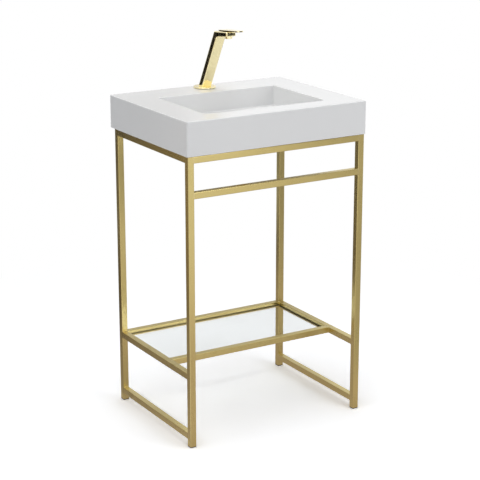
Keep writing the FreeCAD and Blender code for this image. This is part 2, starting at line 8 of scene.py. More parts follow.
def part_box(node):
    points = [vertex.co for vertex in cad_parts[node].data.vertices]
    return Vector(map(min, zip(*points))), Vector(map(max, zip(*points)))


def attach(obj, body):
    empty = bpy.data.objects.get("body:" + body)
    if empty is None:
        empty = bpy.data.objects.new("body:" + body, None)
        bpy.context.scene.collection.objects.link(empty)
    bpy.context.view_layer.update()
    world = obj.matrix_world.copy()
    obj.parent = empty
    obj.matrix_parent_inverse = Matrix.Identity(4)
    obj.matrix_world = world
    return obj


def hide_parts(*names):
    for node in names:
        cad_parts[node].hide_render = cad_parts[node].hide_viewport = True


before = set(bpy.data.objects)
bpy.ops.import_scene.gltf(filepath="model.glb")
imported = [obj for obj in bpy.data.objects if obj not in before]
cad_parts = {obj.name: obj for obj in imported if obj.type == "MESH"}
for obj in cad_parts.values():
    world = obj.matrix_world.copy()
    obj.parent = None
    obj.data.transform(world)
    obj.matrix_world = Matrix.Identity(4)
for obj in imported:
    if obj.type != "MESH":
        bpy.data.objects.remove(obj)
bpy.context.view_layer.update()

bl_info = {
    "name": "Console Washstand",
    "version": (1, 0, 0),
    "blender": (4, 5, 0),
    "location": "View3D > Sidebar > Washstand",
    "description": "Dresses a console washstand: gilt stand, basin, tap, drain and glass shelf",
    "category": "Object",
}

MM = 0.001
MERGE = 0.002 * MM              # points nearer than this are one
X = Vector((1, 0, 0))
Y = Vector((0, 1, 0))
Z = Vector((0, 0, 1))

# The stand's square tubes
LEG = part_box("leg_front_left")
TUBE_HALF = (LEG[1].x - LEG[0].x) / 2
TUBE_CORNER = 1.6 * MM          # outer radius of their corners
LEGS = ("leg_front_left", "leg_front_right", "leg_back_left", "leg_back_right")
RAILS_ACROSS = ("top_rail_front", "top_rail_back", "towel_bar", "shelf_rail_back", "shelf_rail_front")
RAILS_DEEP = ("top_rail_left", "top_rail_right", "shelf_rail_left", "shelf_rail_right",
              "foot_rail_left", "foot_rail_right")

# The studio
SENSOR_WIDTH = 36.0             # millimetres, as Blender's camera takes it
FLOOR_SIZE = 40.0
FLOOR_DROP = 0.2 * MM           # the floor lies this far below the feet
CARD_LIFT = 0.5 * MM            # a card on the floor lies this far above the feet's level
LYING = Matrix.Identity(4)
FACING_SIDE = Matrix.Rotation(math.pi / 2, 4, "Y")
FACING_FRONT = Matrix.Rotation(math.pi / 2, 4, "X")


# --- sizes and colours that a user may change ----------------------------------
def colour_property(label, text, value):
    """A colour with its label, description and default."""
    return bpy.props.FloatVectorProperty(name=label, description=text, subtype="COLOR",
                                         size=3, min=0.0, max=1.0, default=value)


def length_property(label, text, value):
    """A length in metres."""
    return bpy.props.FloatProperty(name=label, description=text, default=value,
                                   unit="LENGTH", min=0.0, precision=5)


def factor_property(label, text, value):
    """A share from 0 to 1."""
    return bpy.props.FloatProperty(name=label, description=text, default=value,
                                   subtype="FACTOR", min=0.0, max=1.0)


def angle_property(label, text, degrees):
    """An angle, whose default is given in degrees."""
    return bpy.props.FloatProperty(name=label, description=text, default=math.radians(degrees),
                                   subtype="ANGLE")


def number_property(label, text, value, least=0.0):
    """A plain number that is never under the least one that makes sense."""
    return bpy.props.FloatProperty(name=label, description=text, default=value, min=least)


class StandFinish(bpy.types.PropertyGroup):
    """Finish of the square-tube stand."""
    gold: colour_property("Gold", "Colour of the brushed gold plate", (0.625, 0.52, 0.228))
    gold_deep: colour_property("Deep gold", "Colour in the valleys of the grain", (0.57, 0.465, 0.19))
    # edges lighter from wear and from a painted edge highlight, where their rounding would catch the
    # light
    gold_edge_and_highlight: colour_property("Edge gold", "Colour of the polished edges", (0.76, 0.64, 0.40))
    roughness: factor_property("Roughness", "Mean roughness of the brushed faces", 0.27)
    grain_depth: length_property("Grain depth", "Depth of the brushed lines", 0.008 * MM)
    bead: length_property("Weld bead", "Leg length of the small fillet welds", 0.7 * MM)


class TapFinish(bpy.types.PropertyGroup):
    """Finish of the tap and the drain."""
    gold: colour_property("Gold", "Colour of the polished gold plate", (0.99, 0.885, 0.54))
    # edges lighter from burnishing and from a painted edge highlight
    gold_edge_and_highlight: colour_property("Edge gold", "Colour of the burnished edges", (1.0, 0.93, 0.70))
    roughness: factor_property("Roughness", "Mean roughness of the polished faces", 0.13)
    brass: colour_property("Brass", "Colour of the unplated brass", (0.56, 0.39, 0.15))


class BasinFinish(bpy.types.PropertyGroup):
    """Finish of the ceramic basin."""
    glaze: colour_property("Glaze", "Colour of the white glaze", (0.83, 0.835, 0.84))
    # painted highlight: the glaze is paler along the rounded edges, where they would catch the light
    glaze_edge_highlight: colour_property("Edge glaze", "Colour of the glaze along the edges",
                                (0.93, 0.93, 0.93))
    bisque: colour_property("Bisque", "Colour of the unglazed underside", (0.74, 0.70, 0.62))
    roughness: factor_property("Roughness", "Mean roughness of the glaze", 0.23)


class ShelfFinish(bpy.types.PropertyGroup):
    """Edges and colour of the glass shelf."""
    tint: colour_property("Tint", "Colour of the clear glass", (0.955, 0.975, 0.965))
    edge_round: length_property("Edge round", "Radius of the polished edges", 0.8 * MM)
    corner: length_property("Corner", "Radius of the upright corners", 2.0 * MM)


class StudioSettings(bpy.types.PropertyGroup):
    """Camera, lamps and floor."""
    camera_place: bpy.props.FloatVectorProperty(
        name="Camera place", description="Where the camera stands", subtype="TRANSLATION",
        unit="LENGTH", size=3, default=(-2.1018, -3.5079, 1.6816))
    camera_turn: angle_property("Camera turn", "Turn of the view from straight ahead to the right",
                                31.052)
    camera_dip: angle_property("Camera dip", "Dip of the view below level", 16.219)
    lens: number_property("Lens", "Focal length in millimetres on a 36 mm sensor", 112.99, 10.0)
    floor: colour_property("Floor", "Colour of the floor", (0.875, 0.885, 0.91))
    floor_gain: number_property("Floor gain", "How much paler than its colour the floor shows", 1.66)
    shadow_reach: length_property("Shadow reach", "Radius of the floor that takes the shadow", 0.60)
    ambient: factor_property("Ambient", "Strength of the surrounding light", 0.47)
    top_power: number_property("Top lamp", "Power of the lamp overhead", 23.0)
    front_power: number_property("Front lamp", "Power of the lamp at the front right", 18.0)
    left_power: number_property("Left lamp", "Power of the fill lamp at the left", 7.0)
    # the cards' tints colour the painted reflections in the gold, the glass and the glaze
    card_tint: colour_property("Card tint", "Colour of the standing cards", (1.0, 0.955, 0.90))
    floor_card_tint: colour_property("Floor card tint", "Colour of the cards that lie on the floor",
                                     (1.0, 0.87, 0.84))
    side_card_tint: colour_property("Side card tint", "Colour of the card at the left",
                                    (1.0, 0.80, 0.56))


# --- node helpers ---------------------------------------------------------------
def add_node(tree, kind, values=None, **settings):
    """A node with its settings and the values of its named inputs."""
    node = tree.nodes.new(kind)
    for name, value in settings.items():
        setattr(node, name, value)
    for name, value in (values or {}).items():
        node.inputs[name].default_value = value
    return node


def math_node(tree, operation, first, second=0.0):
    """A Math node on two sockets or numbers; gives its output."""
    node = tree.nodes.new("ShaderNodeMath")
    node.operation = operation
    for index, item in enumerate((first, second)):
        if isinstance(item, (int, float)):
            node.inputs[index].default_value = item
        else:
            tree.links.new(item, node.inputs[index])
    return node.outputs[0]


def span_node(tree, value, low, high, out_low=0.0, out_high=1.0):
    """Maps a value from one span to another, held at its ends; gives the result."""
    node = add_node(tree, "ShaderNodeMapRange", {
        "From Min": low, "From Max": high, "To Min": out_low, "To Max": out_high})
    tree.links.new(value, node.inputs["Value"])
    return node.outputs["Result"]


def mix_colours(tree, factor, first, second):
    """Mixes two colours, each a socket or three numbers; gives the mixed colour."""
    node = tree.nodes.new("ShaderNodeMix")
    node.data_type = "RGBA"
    tree.links.new(factor, node.inputs["Factor"])
    for name, item in (("A", first), ("B", second)):
        socket = next(s for s in node.inputs if s.name == name and s.type == "RGBA")
        if isinstance(item, bpy.types.NodeSocket):
            tree.links.new(item, socket)
        else:
            socket.default_value = (*item, 1.0)
    return next(s for s in node.outputs if s.type == "RGBA")


def mix_shaders(tree, factor, first, second):
    """Shows the first shader where the factor is 0 and the second where it is 1."""
    choice = tree.nodes.new("ShaderNodeMixShader")
    for index, socket in enumerate((factor, first, second)):
        tree.links.new(socket, choice.inputs[index])
    tree.links.new(choice.outputs["Shader"], tree.nodes["Material Output"].inputs["Surface"])


def split_vector(tree, vector):
    """The X, Y and Z sockets of a vector, by name."""
    node = tree.nodes.new("ShaderNodeSeparateXYZ")
    tree.links.new(vector, node.inputs["Vector"])
    return node.outputs


def object_vector(tree, scale=(1.0, 1.0, 1.0)):
    """Object coordinates in metres, stretched by a Mapping node; gives the vector."""
    coordinates = tree.nodes.new("ShaderNodeTexCoord")
    mapping = add_node(tree, "ShaderNodeMapping", {"Scale": scale})
    tree.links.new(coordinates.outputs["Object"], mapping.inputs["Vector"])
    return mapping.outputs["Vector"]


def noise(tree, vector, scale, detail, roughness):
    """A Noise node on a vector; gives its value."""
    node = add_node(tree, "ShaderNodeTexNoise", {
        "Scale": scale, "Detail": detail, "Roughness": roughness})
    tree.links.new(vector, node.inputs["Vector"])
    return node.outputs["Fac"]


def tone(colour, *shares):
    """A colour with its channels scaled, all by one share or each by its own."""
    return tuple(channel * share for channel, share in zip(colour, shares * 3))


# --- shader groups shared by several finishes -----------------------------------
def new_group(name, inputs, outputs):
    """An empty shader group with named sockets; gives the group and its end nodes."""
    group = bpy.data.node_groups.new(name, "ShaderNodeTree")
    for label, kind, default in inputs:
        socket = group.interface.new_socket(label, in_out="INPUT", socket_type=kind)
        if default is not None:
            socket.default_value = default
    for label in outputs:
        group.interface.new_socket(label, in_out="OUTPUT", socket_type="NodeSocketFloat")
    entry = group.nodes.new("NodeGroupInput")
    leave = group.nodes.new("NodeGroupOutput")
    return group, entry.outputs, leave.inputs


def brushed_grain_group():
    """Long fine lines along the stretched direction of the vector."""
    group, given, result = new_group(
        "Brushed grain",
        [("Vector", "NodeSocketVector", None), ("Contrast", "NodeSocketFloat", 1.0)],
        ["Streaks", "Height"])
    coarse_share = 0.55
    coarse = noise(group, given["Vector"], scale=1.0, detail=2.0, roughness=0.55)
    fine = noise(group, given["Vector"], scale=3.7, detail=3.0, roughness=0.65)
    both = math_node(group, "ADD", math_node(group, "MULTIPLY", coarse, coarse_share),
                     math_node(group, "MULTIPLY", fine, 1.0 - coarse_share))
    centred = math_node(group, "SUBTRACT", both, 0.5)
    spread = math_node(group, "MULTIPLY", centred, given["Contrast"])
    group.links.new(math_node(group, "ADD", spread, 0.5), result["Streaks"])
    group.links.new(fine, result["Height"])
    return group


def edge_wear_and_highlight_group():
    """A mask of the outer edges, found by comparing the normal with a rounded one; it lays edge wear
    and painted edge highlights.
    """
    group, given, result = new_group(
        "Edge wear",
        [("Vector", "NodeSocketVector", None), ("Radius", "NodeSocketFloat", 1.0 * MM),
         ("Breakup", "NodeSocketFloat", 0.4)],
        ["Mask"])
    flat, worn_through = 0.995, 0.93
    rounded = add_node(group, "ShaderNodeBevel", samples=4)
    group.links.new(given["Radius"], rounded.inputs["Radius"])
    surface = group.nodes.new("ShaderNodeNewGeometry")
    agreement = add_node(group, "ShaderNodeVectorMath", operation="DOT_PRODUCT")
    group.links.new(rounded.outputs["Normal"], agreement.inputs[0])
    group.links.new(surface.outputs["Normal"], agreement.inputs[1])
    edge = span_node(group, agreement.outputs["Value"], flat, worn_through)
    patches = noise(group, given["Vector"], scale=90.0, detail=4.0, roughness=0.6)
    kept = math_node(group, "MULTIPLY", patches, given["Breakup"])
    worn = math_node(group, "SUBTRACT", edge, kept)
    group.links.new(span_node(group, worn, 0.0, 1.0), result["Mask"])
    return group


def haze_group():
    """Soft patches left by wiping and handling, and a fine even grain."""
    group, given, result = new_group(
        "Wiped haze",
        [("Vector", "NodeSocketVector", None), ("Scale", "NodeSocketFloat", 12.0)],
        ["Mask", "Fine"])
    clear, hazy = 0.38, 0.68
    broad = add_node(group, "ShaderNodeTexNoise", {"Detail": 4.0, "Roughness": 0.6, "Distortion": 0.6})
    group.links.new(given["Vector"], broad.inputs["Vector"])
    group.links.new(given["Scale"], broad.inputs["Scale"])
    group.links.new(span_node(group, broad.outputs["Fac"], clear, hazy), result["Mask"])
    fine = noise(group, given["Vector"], scale=900.0, detail=2.0, roughness=0.7)
    group.links.new(fine, result["Fine"])
    return group


GROUPS = {"Brushed grain": brushed_grain_group, "Edge wear": edge_wear_and_highlight_group, "Wiped haze": haze_group}


def place_group(tree, name, vector, **values):
    """Places a shared group, which is made when it is first asked for; gives its outputs."""
    node = tree.nodes.new("ShaderNodeGroup")
    node.node_tree = bpy.data.node_groups.get(name) or GROUPS[name]()
    for label, value in values.items():
        node.inputs[label].default_value = value
    tree.links.new(vector, node.inputs["Vector"])
    return node.outputs


# --- materials ------------------------------------------------------------------
def new_material(name, **constants):
    """A material with a Principled shader whose plain values are given by socket name."""
    material = bpy.data.materials.new(name)
    material.use_nodes = True
    tree = material.node_tree
    shader = tree.nodes["Principled BSDF"]
    for label, value in constants.items():
        shader.inputs[label.replace("_", " ")].default_value = value
    return material, tree, shader


def bump(tree, shader, height, distance):
    """Raises the surface by a height socket, up to a distance in metres."""
    node = add_node(tree, "ShaderNodeBump", {"Distance": distance, "Strength": 1.0})
    tree.links.new(height, node.inputs["Height"])
    tree.links.new(node.outputs["Normal"], shader.inputs["Normal"])


def brushed_gold(name, along):
    """Gold plate over a brushed tube; along is the tube's axis, or None for a ground weld."""
    settings = bpy.context.scene.washstand_stand
    gold = tuple(settings.gold)
    lines_across, lines_along, ground_lines = 1500.0, 14.0, 700.0
    haze_shows, wear_and_highlight_shows = 0.35, 0.8
    valleys_rougher, ridges_smoother = 0.06, 0.04
    haze_rougher, edges_smoother = 0.03, 0.07
    if along is None:
        scale = [ground_lines] * 3
    else:
        scale = [lines_across] * 3
        scale[along] = lines_along
    material, tree, shader = new_material(name, Metallic=1.0)
    plain = object_vector(tree)
    grain = place_group(tree, "Brushed grain", object_vector(tree, scale), Contrast=1.7)
    wear_and_highlight = place_group(tree, "Edge wear", plain, Radius=0.9 * MM, Breakup=0.45)
    haze = place_group(tree, "Wiped haze", plain, Scale=9.0)
    brushed = mix_colours(tree, grain["Streaks"], tuple(settings.gold_deep), gold)
    wiped = mix_colours(tree, math_node(tree, "MULTIPLY", haze["Mask"], haze_shows), brushed, gold)
    # painted edge highlight as well as edge wear: the rounded edges turn a lighter gold
    rubbed_and_lit = mix_colours(tree, math_node(tree, "MULTIPLY", wear_and_highlight["Mask"], wear_and_highlight_shows),
                         wiped, tuple(settings.gold_edge_and_highlight))
    tree.links.new(rubbed_and_lit, shader.inputs["Base Color"])
    rough = span_node(tree, grain["Streaks"], 0.0, 1.0,
                      settings.roughness + valleys_rougher, settings.roughness - ridges_smoother)
    hazed = math_node(tree, "ADD", rough, math_node(tree, "MULTIPLY", haze["Mask"], haze_rougher))
    rubbed_smooth = math_node(tree, "MULTIPLY", wear_and_highlight["Mask"], edges_smoother)
    tree.links.new(math_node(tree, "SUBTRACT", hazed, rubbed_smooth), shader.inputs["Roughness"])
    bump(tree, shader, grain["Height"], settings.grain_depth)
    return material


def polished_gold():
    """Bright gold plate with faint polishing lines, and edges lighter from burnishing and from a
    painted edge highlight.
    """
    settings = bpy.context.scene.washstand_tap
    gold = tuple(settings.gold)
    wiped_gold = tone(gold, 0.985, 0.97, 0.94)
    polishing_lines = (2200.0, 260.0, 260.0)
    wear_and_highlight_shows = 0.7
    lines_smoother, lines_rougher, haze_rougher = 0.02, 0.03, 0.04
    material, tree, shader = new_material("polished_gold", Metallic=1.0)
    plain = object_vector(tree)
    grain = place_group(tree, "Brushed grain", object_vector(tree, polishing_lines), Contrast=1.2)
    haze = place_group(tree, "Wiped haze", plain, Scale=28.0)
    wear_and_highlight = place_group(tree, "Edge wear", plain, Radius=0.6 * MM, Breakup=0.3)
    wiped = mix_colours(tree, haze["Mask"], gold, wiped_gold)
    # painted edge highlight as well as burnishing: the edges turn a lighter gold
    burnished_and_highlit = mix_colours(tree, math_node(tree, "MULTIPLY", wear_and_highlight["Mask"], wear_and_highlight_shows),
                            wiped, tuple(settings.gold_edge_and_highlight))
    tree.links.new(burnished_and_highlit, shader.inputs["Base Color"])
    rough = span_node(tree, grain["Streaks"], 0.2, 0.8,
                      settings.roughness - lines_smoother, settings.roughness + lines_rougher)
    hazed = math_node(tree, "ADD", rough, math_node(tree, "MULTIPLY", haze["Mask"], haze_rougher))
    tree.links.new(hazed, shader.inputs["Roughness"])
    bump(tree, shader, grain["Height"], 0.0006 * MM)
    return material


def machined_metal(name, colour, roughness):
    """Turned metal with tool marks round the upright axis, slightly uneven in tone."""
    tarnished = tone(colour, 0.72)
    tool_marks = (120.0, 120.0, 2600.0)
    marks_smoother, marks_rougher = 0.06, 0.10
    material, tree, shader = new_material(name, Metallic=1.0)
    grain = place_group(tree, "Brushed grain", object_vector(tree, tool_marks), Contrast=1.5)
    haze = place_group(tree, "Wiped haze", object_vector(tree), Scale=40.0)
    uneven = mix_colours(tree, haze["Mask"], tuple(colour), tarnished)
    tree.links.new(uneven, shader.inputs["Base Color"])
    rough = span_node(tree, grain["Streaks"], 0.0, 1.0,
                      roughness - marks_smoother, roughness + marks_rougher)
    tree.links.new(rough, shader.inputs["Roughness"])
    bump(tree, shader, grain["Height"], 0.006 * MM)
    return material


def machined_brass():
    """Unplated brass of the nuts, the shank and the tailpiece."""
    return machined_metal("machined_brass", bpy.context.scene.washstand_tap.brass, 0.30)


def stainless_steel():
    """Steel of the washer and the lever's pin."""
    return machined_metal("stainless_steel", (0.56, 0.55, 0.53), 0.28)


def moulded(name, colour, lighter, roughness, grain, **constants):
    """Moulded plastic or rubber: a fine grain and soft patches of tone."""
    swing = 0.07                # of the roughness, to either side of its mean
    material, tree, shader = new_material(name, **constants)
    haze = place_group(tree, "Wiped haze", object_vector(tree), Scale=60.0)
    tree.links.new(mix_colours(tree, haze["Mask"], colour, lighter), shader.inputs["Base Color"])
    rough = span_node(tree, haze["Fine"], 0.3, 0.7, roughness - swing, roughness + swing)
    tree.links.new(rough, shader.inputs["Roughness"])
    bump(tree, shader, haze["Fine"], grain)
    return material


def dull_rubber():
    """Black rubber of the seals, washers and shelf strips."""
    return moulded("dull_rubber", (0.018, 0.018, 0.018), (0.035, 0.034, 0.033), 0.72, 0.03 * MM)


def moulded_black():
    """Black plastic of the foot caps."""
    return moulded("moulded_black", (0.022, 0.022, 0.023), (0.04, 0.04, 0.041), 0.48, 0.02 * MM)


def moulded_white():
    """White plastic of the cartridge, the aerator's insert and the drain's guide."""
    return moulded("moulded_white", (0.76, 0.76, 0.74), (0.82, 0.82, 0.80), 0.42, 0.01 * MM)


def soft_silicone():
    """Cloudy clear silicone of the basin's pads."""
    return moulded("soft_silicone", (0.80, 0.82, 0.81), (0.86, 0.87, 0.86), 0.35, 0.01 * MM,
                   Transmission_Weight=0.55, IOR=1.41)


def bare_clay(tree, place):
    """A mask of the unglazed underside: faces that look down, under the deck and inside the skirt."""
    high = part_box("basin")[1]
    deck_glazed, deck_bare = 13.5 * MM, 14.5 * MM       # below the basin's top
    skirt_glazed, skirt_bare = 4.0 * MM, 7.0 * MM       # in from the basin's sides
    slanting, level = -0.35, -0.75                      # Z of the normals of such faces
    surface = tree.nodes.new("ShaderNodeNewGeometry")
    facing = split_vector(tree, surface.outputs["Normal"])
    spot = split_vector(tree, place)
    downward = span_node(tree, facing["Z"], slanting, level)
    below_deck = span_node(tree, spot["Z"], high.z - deck_glazed, high.z - deck_bare)
    mask = math_node(tree, "MULTIPLY", downward, below_deck)
    for axis, edge in (("X", high.x), ("Y", high.y)):
        out = math_node(tree, "ABSOLUTE", spot[axis])
        inside = span_node(tree, out, edge - skirt_glazed, edge - skirt_bare)
        mask = math_node(tree, "MULTIPLY", mask, inside)
    return mask


def glazed_ceramic():
    """White glaze with a faint ripple, a painted highlight along its edges, and bare fired clay
    underneath.
    """
    settings = bpy.context.scene.washstand_basin
    glaze = tuple(settings.glaze)
    wiped_glaze = tone(glaze, 0.985)
    haze_rougher, clay_rougher, glaze_coat = 0.02, 0.6, 0.25
    material, tree, shader = new_material("glazed_ceramic", Coat_Roughness=0.12, Coat_IOR=1.5)
    plain = object_vector(tree)
    clay = bare_clay(tree, plain)
    haze = place_group(tree, "Wiped haze", plain, Scale=5.0)
    # painted highlight along the basin's rounded edges
    edges = place_group(tree, "Edge wear", plain, Radius=2.2 * MM, Breakup=0.15)
    wiped = mix_colours(tree, haze["Mask"], glaze, wiped_glaze)
    highlit_rims = mix_colours(tree, edges["Mask"], wiped, tuple(settings.glaze_edge_highlight))
    tree.links.new(mix_colours(tree, clay, highlit_rims, tuple(settings.bisque)), shader.inputs["Base Color"])
    rough = span_node(tree, haze["Mask"], 0.0, 1.0,
                      settings.roughness, settings.roughness + haze_rougher)
    rougher = math_node(tree, "ADD", rough, math_node(tree, "MULTIPLY", clay, clay_rougher))
    tree.links.new(rougher, shader.inputs["Roughness"])
    tree.links.new(span_node(tree, clay, 0.0, 1.0, glaze_coat, 0.0), shader.inputs["Coat Weight"])
    ripple = noise(tree, plain, scale=160.0, detail=2.0, roughness=0.5)
    bump(tree, shader, ripple, 0.01 * MM)
    return material


def toughened_glass():
    """Clear toughened glass that lets light through to the floor."""
    settings = bpy.context.scene.washstand_shelf
    tint = tuple(settings.tint)
    wiped_tint = tone(tint, 0.99)
    smear_roughness = 0.025
    material, tree, shader = new_material("toughened_glass", Transmission_Weight=1.0, IOR=1.5)
    haze = place_group(tree, "Wiped haze", object_vector(tree), Scale=7.0)
    tree.links.new(mix_colours(tree, haze["Mask"], tint, wiped_tint), shader.inputs["Base Color"])
    smears = math_node(tree, "MULTIPLY", haze["Mask"], smear_roughness)
    tree.links.new(smears, shader.inputs["Roughness"])
    light = tree.nodes.new("ShaderNodeLightPath")
    through = add_node(tree, "ShaderNodeBsdfTransparent", {"Color": (*tint, 1.0)})
    mix_shaders(tree, light.outputs["Is Shadow Ray"], shader.outputs["BSDF"], through.outputs["BSDF"])
    return material


FINISHES = {
    "gold_along_x": lambda: brushed_gold("gold_along_x", 0),
    "gold_along_y": lambda: brushed_gold("gold_along_y", 1),
    "gold_along_z": lambda: brushed_gold("gold_along_z", 2),
    "gold_ground": lambda: brushed_gold("gold_ground", None),
    "polished_gold": polished_gold,
    "machined_brass": machined_brass,
    "stainless_steel": stainless_steel,
    "dull_rubber": dull_rubber,
    "moulded_black": moulded_black,
    "moulded_white": moulded_white,
    "soft_silicone": soft_silicone,
    "glazed_ceramic": glazed_ceramic,
    "toughened_glass": toughened_glass,
}


def finish_material(name):
    """The material of that name, made when it is first asked for."""
    return bpy.data.materials.get(name) or FINISHES[name]()


# --- mesh helpers ---------------------------------------------------------------
def dress(material_name, *nodes):
    """Gives carried-over CAD nodes their material."""
    for node in nodes:
        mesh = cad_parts[node].data
        mesh.materials.clear()
        mesh.materials.append(finish_material(material_name))


def add_piece(name, bm, material_name, body, replaced=(), sharp_angle=35.0):
    """Turns a finished bmesh into a piece that rides on a body."""
    bmesh.ops.remove_doubles(bm, verts=bm.verts, dist=MERGE)
    bmesh.ops.recalc_face_normals(bm, faces=bm.faces)
    mesh = bpy.data.meshes.new(name)
    bm.to_mesh(mesh)
    bm.free()
    mesh.polygons.foreach_set("use_smooth", [True] * len(mesh.polygons))
    mesh.set_sharp_from_angle(angle=math.radians(sharp_angle))
    mesh.materials.append(finish_material(material_name))
    piece = bpy.data.objects.new(name, mesh)
    bpy.context.scene.collection.objects.link(piece)
    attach(piece, body)
    if replaced:
        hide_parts(*replaced)
    return piece


def loft(bm, sections):
    """Extrudes the first section's face through the others, which have as many points."""
    face = bm.faces.new([bm.verts.new(point) for point in sections[0]])
    for section in sections[1:]:
        grown = bmesh.ops.extrude_face_region(bm, geom=[face])
        face = next(item for item in grown["geom"] if isinstance(item, bmesh.types.BMFace))
        for vert, point in zip(face.verts, section):
            vert.co = point


def bevel(bm, edges, radius, segments=3):
    """Rounds some edges."""
    bmesh.ops.bevel(bm, geom=edges, offset=radius, offset_type="OFFSET", segments=segments,
                    profile=0.5, affect="EDGES", material=-1, clamp_overlap=True)


def block(bm, low, high):
    """Adds a box between two corners."""
    made = bmesh.ops.create_cube(bm, size=1.0)
    bmesh.ops.scale(bm, vec=high - low, verts=made["verts"])
    bmesh.ops.translate(bm, vec=(low + high) / 2, verts=made["verts"])


def upright_edges(bm):
    """The edges that rise or fall."""
    return [e for e in bm.edges if abs(e.verts[0].co.z - e.verts[1].co.z) > MERGE]


def edges_at(bm, level):
    """The edges that lie flat at one height."""
    return [e for e in bm.edges if all(abs(v.co.z - level) < MERGE for v in e.verts)]


def islands_of(node):
    """Boxes of the separate solids in a CAD node, each as its lowest and highest corner."""
    bm = bmesh.new()
    bm.from_mesh(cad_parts[node].data)
    bmesh.ops.remove_doubles(bm, verts=bm.verts, dist=MERGE)
    left = set(bm.verts)
    boxes = []
    while left:
        start = left.pop()
        group = [start]
        queue = [start]
        while queue:
            for edge in queue.pop().link_edges:
                for vert in edge.verts:
                    if vert in left:
                        left.remove(vert)
                        group.append(vert)
                        queue.append(vert)
        low = Vector([min(v.co[i] for v in group) for i in range(3)])
        high = Vector([max(v.co[i] for v in group) for i in range(3)])
        boxes.append((low, high))
    bm.free()
    return sorted(boxes, key=lambda pair: tuple(round(c, 4) for c in pair[0]))


# --- weld beads and ground joints -----------------------------------------------
def corner_steps():
    """Steps round a tube's rounded corner: how far sideways, how far down, and the share left."""
    angles = [math.radians(a) for a in (0, 25, 50, 72)]     # nearer to 90, too little height is left
    return [(TUBE_CORNER * math.sin(a), TUBE_CORNER * (1 - math.cos(a)), math.cos(a)) for a in angles]


def ground_fill(bm, end, into, flush, along):
    """Fills the groove between a tube's end and the rounded corner of the tube that it meets."""
    arc_steps = 5
    straight = TUBE_HALF - TUBE_CORNER

    def section(reach, drop):
        depth = TUBE_CORNER - drop
        base = end + along * reach + flush * straight
        limit = math.asin(min(1.0, depth / TUBE_CORNER))
        points = [base, base + flush * depth]
        for i in range(arc_steps):
            turn = limit * (1 - i / arc_steps)
            points.append(base + into * (TUBE_CORNER * (math.cos(turn) - 1))
                          + flush * (TUBE_CORNER * math.sin(turn)))
        return points

    tail = [(straight + sideways, drop) for sideways, drop, _ in corner_steps()]
    reaches = [(-reach, drop) for reach, drop in reversed(tail)] + tail
    loft(bm, [section(*item) for item in reaches])


def fillet_bead(bm, end, into, flush, along, size):
    """A small concave fillet along the inner corner of a joint, thinner towards its two ends."""
    thinnest = 0.35             # its size at the two ends, as a share of its full size
    lift = 0.2                  # how far its edge stays off the rounded corner, as a share of the drop
    arc_steps = 4

    def section(side, sideways, drop, share):
        corner = (end + flush * side * (TUBE_HALF - TUBE_CORNER + sideways)
                  + along * (TUBE_HALF - drop) - into * drop)
        leg = size * (thinnest + (1 - thinnest) * share)
        depth = leg + drop
        centre = corner + into * depth + along * leg
        points = [corner, corner + into * depth]
        for i in range(1, arc_steps):
            turn = math.pi / 2 * i / arc_steps
            points.append(centre - along * leg * math.cos(turn) - into * depth * math.sin(turn))
        points.append(corner + along * (leg + drop * lift))
        return points

    steps = corner_steps()
    loft(bm, [section(-1, *item) for item in reversed(steps)] + [section(1, *item) for item in steps])


def joint_ends(node, axis):
    """The middle of each end face of a tube, with the direction into the tube."""
    low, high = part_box(node)
    middle = (low + high) / 2
    first = middle.copy()
    last = middle.copy()
    first[axis] = low[axis]
    last[axis] = high[axis]
    direction = (X, Y, Z)[axis]
    return (first, direction), (last, -direction)


def weld_joints(bead):
    """One bmesh with every bead and ground joint of the stand."""
    bm = bmesh.new()
    for node in RAILS_ACROSS + RAILS_DEEP:
        axis = 0 if node in RAILS_ACROSS else 1
        if node == "shelf_rail_front":
            flush, along = Z, Y                 # it meets the side rails, not the legs
        else:
            flush, along = (Y, Z) if axis == 0 else (X, Z)
        for end, into in joint_ends(node, axis):
            for side in (1, -1):
                ground_fill(bm, end, into, flush * side, along)
                if along == Z and side == 1 and node.startswith("top_rail"):
                    continue                    # the basin's pads lie there
                fillet_bead(bm, end, into, flush, along * side, bead)
    return bm


# --- the pieces -------------------------------------------------------------------
class WASHSTAND_OT_stand(bpy.types.Operator):
    """Brushes the tubes along their length and adds the ground welds between them"""
    bl_idname = "washstand.stand"
    bl_label = "Stand"

    def execute(self, context):
        dress("gold_along_z", *LEGS)
        dress("gold_along_x", *RAILS_ACROSS)
        dress("gold_along_y", *RAILS_DEEP)
        dress("gold_ground", "shelf_ledges")
        bm = weld_joints(context.scene.washstand_stand.bead)
        add_piece("stand_welds", bm, "gold_ground", "stand")
        return {"FINISHED"}


class WASHSTAND_OT_foot_caps(bpy.types.Operator):
    """Makes the four moulded caps that close the legs"""
    bl_idname = "washstand.foot_caps"
    bl_label = "Foot caps"

    flange_edge: length_property("Flange edge", "Rounding of the flange's edges", 0.6 * MM)
    plug_inset: length_property("Plug inset", "From the flange's side to the plug's", 1.7 * MM)
    plug_root: length_property("Plug root", "How far the plug goes down into the flange", 1.0 * MM)

    def execute(self, context):
        bm = bmesh.new()
        foot = LEG[0].z
        inset = Vector((self.plug_inset, self.plug_inset, 0.0))
        for low, high in islands_of("foot_caps"):
            cap = bmesh.new()
            block(cap, low, Vector((high.x, high.y, foot)))
            bevel(cap, upright_edges(cap), TUBE_CORNER, segments=4)
            bevel(cap, edges_at(cap, low.z) + edges_at(cap, foot), self.flange_edge)
            plug_foot = Vector((low.x, low.y, foot - self.plug_root))
            block(cap, plug_foot + inset, high - inset)
            mesh = bpy.data.meshes.new("cap")
            cap.to_mesh(mesh)
            cap.free()
            bm.from_mesh(mesh)
            bpy.data.meshes.remove(mesh)
        add_piece("foot_cap_set", bm, "moulded_black", "stand", ("foot_caps",))
        return {"FINISHED"}


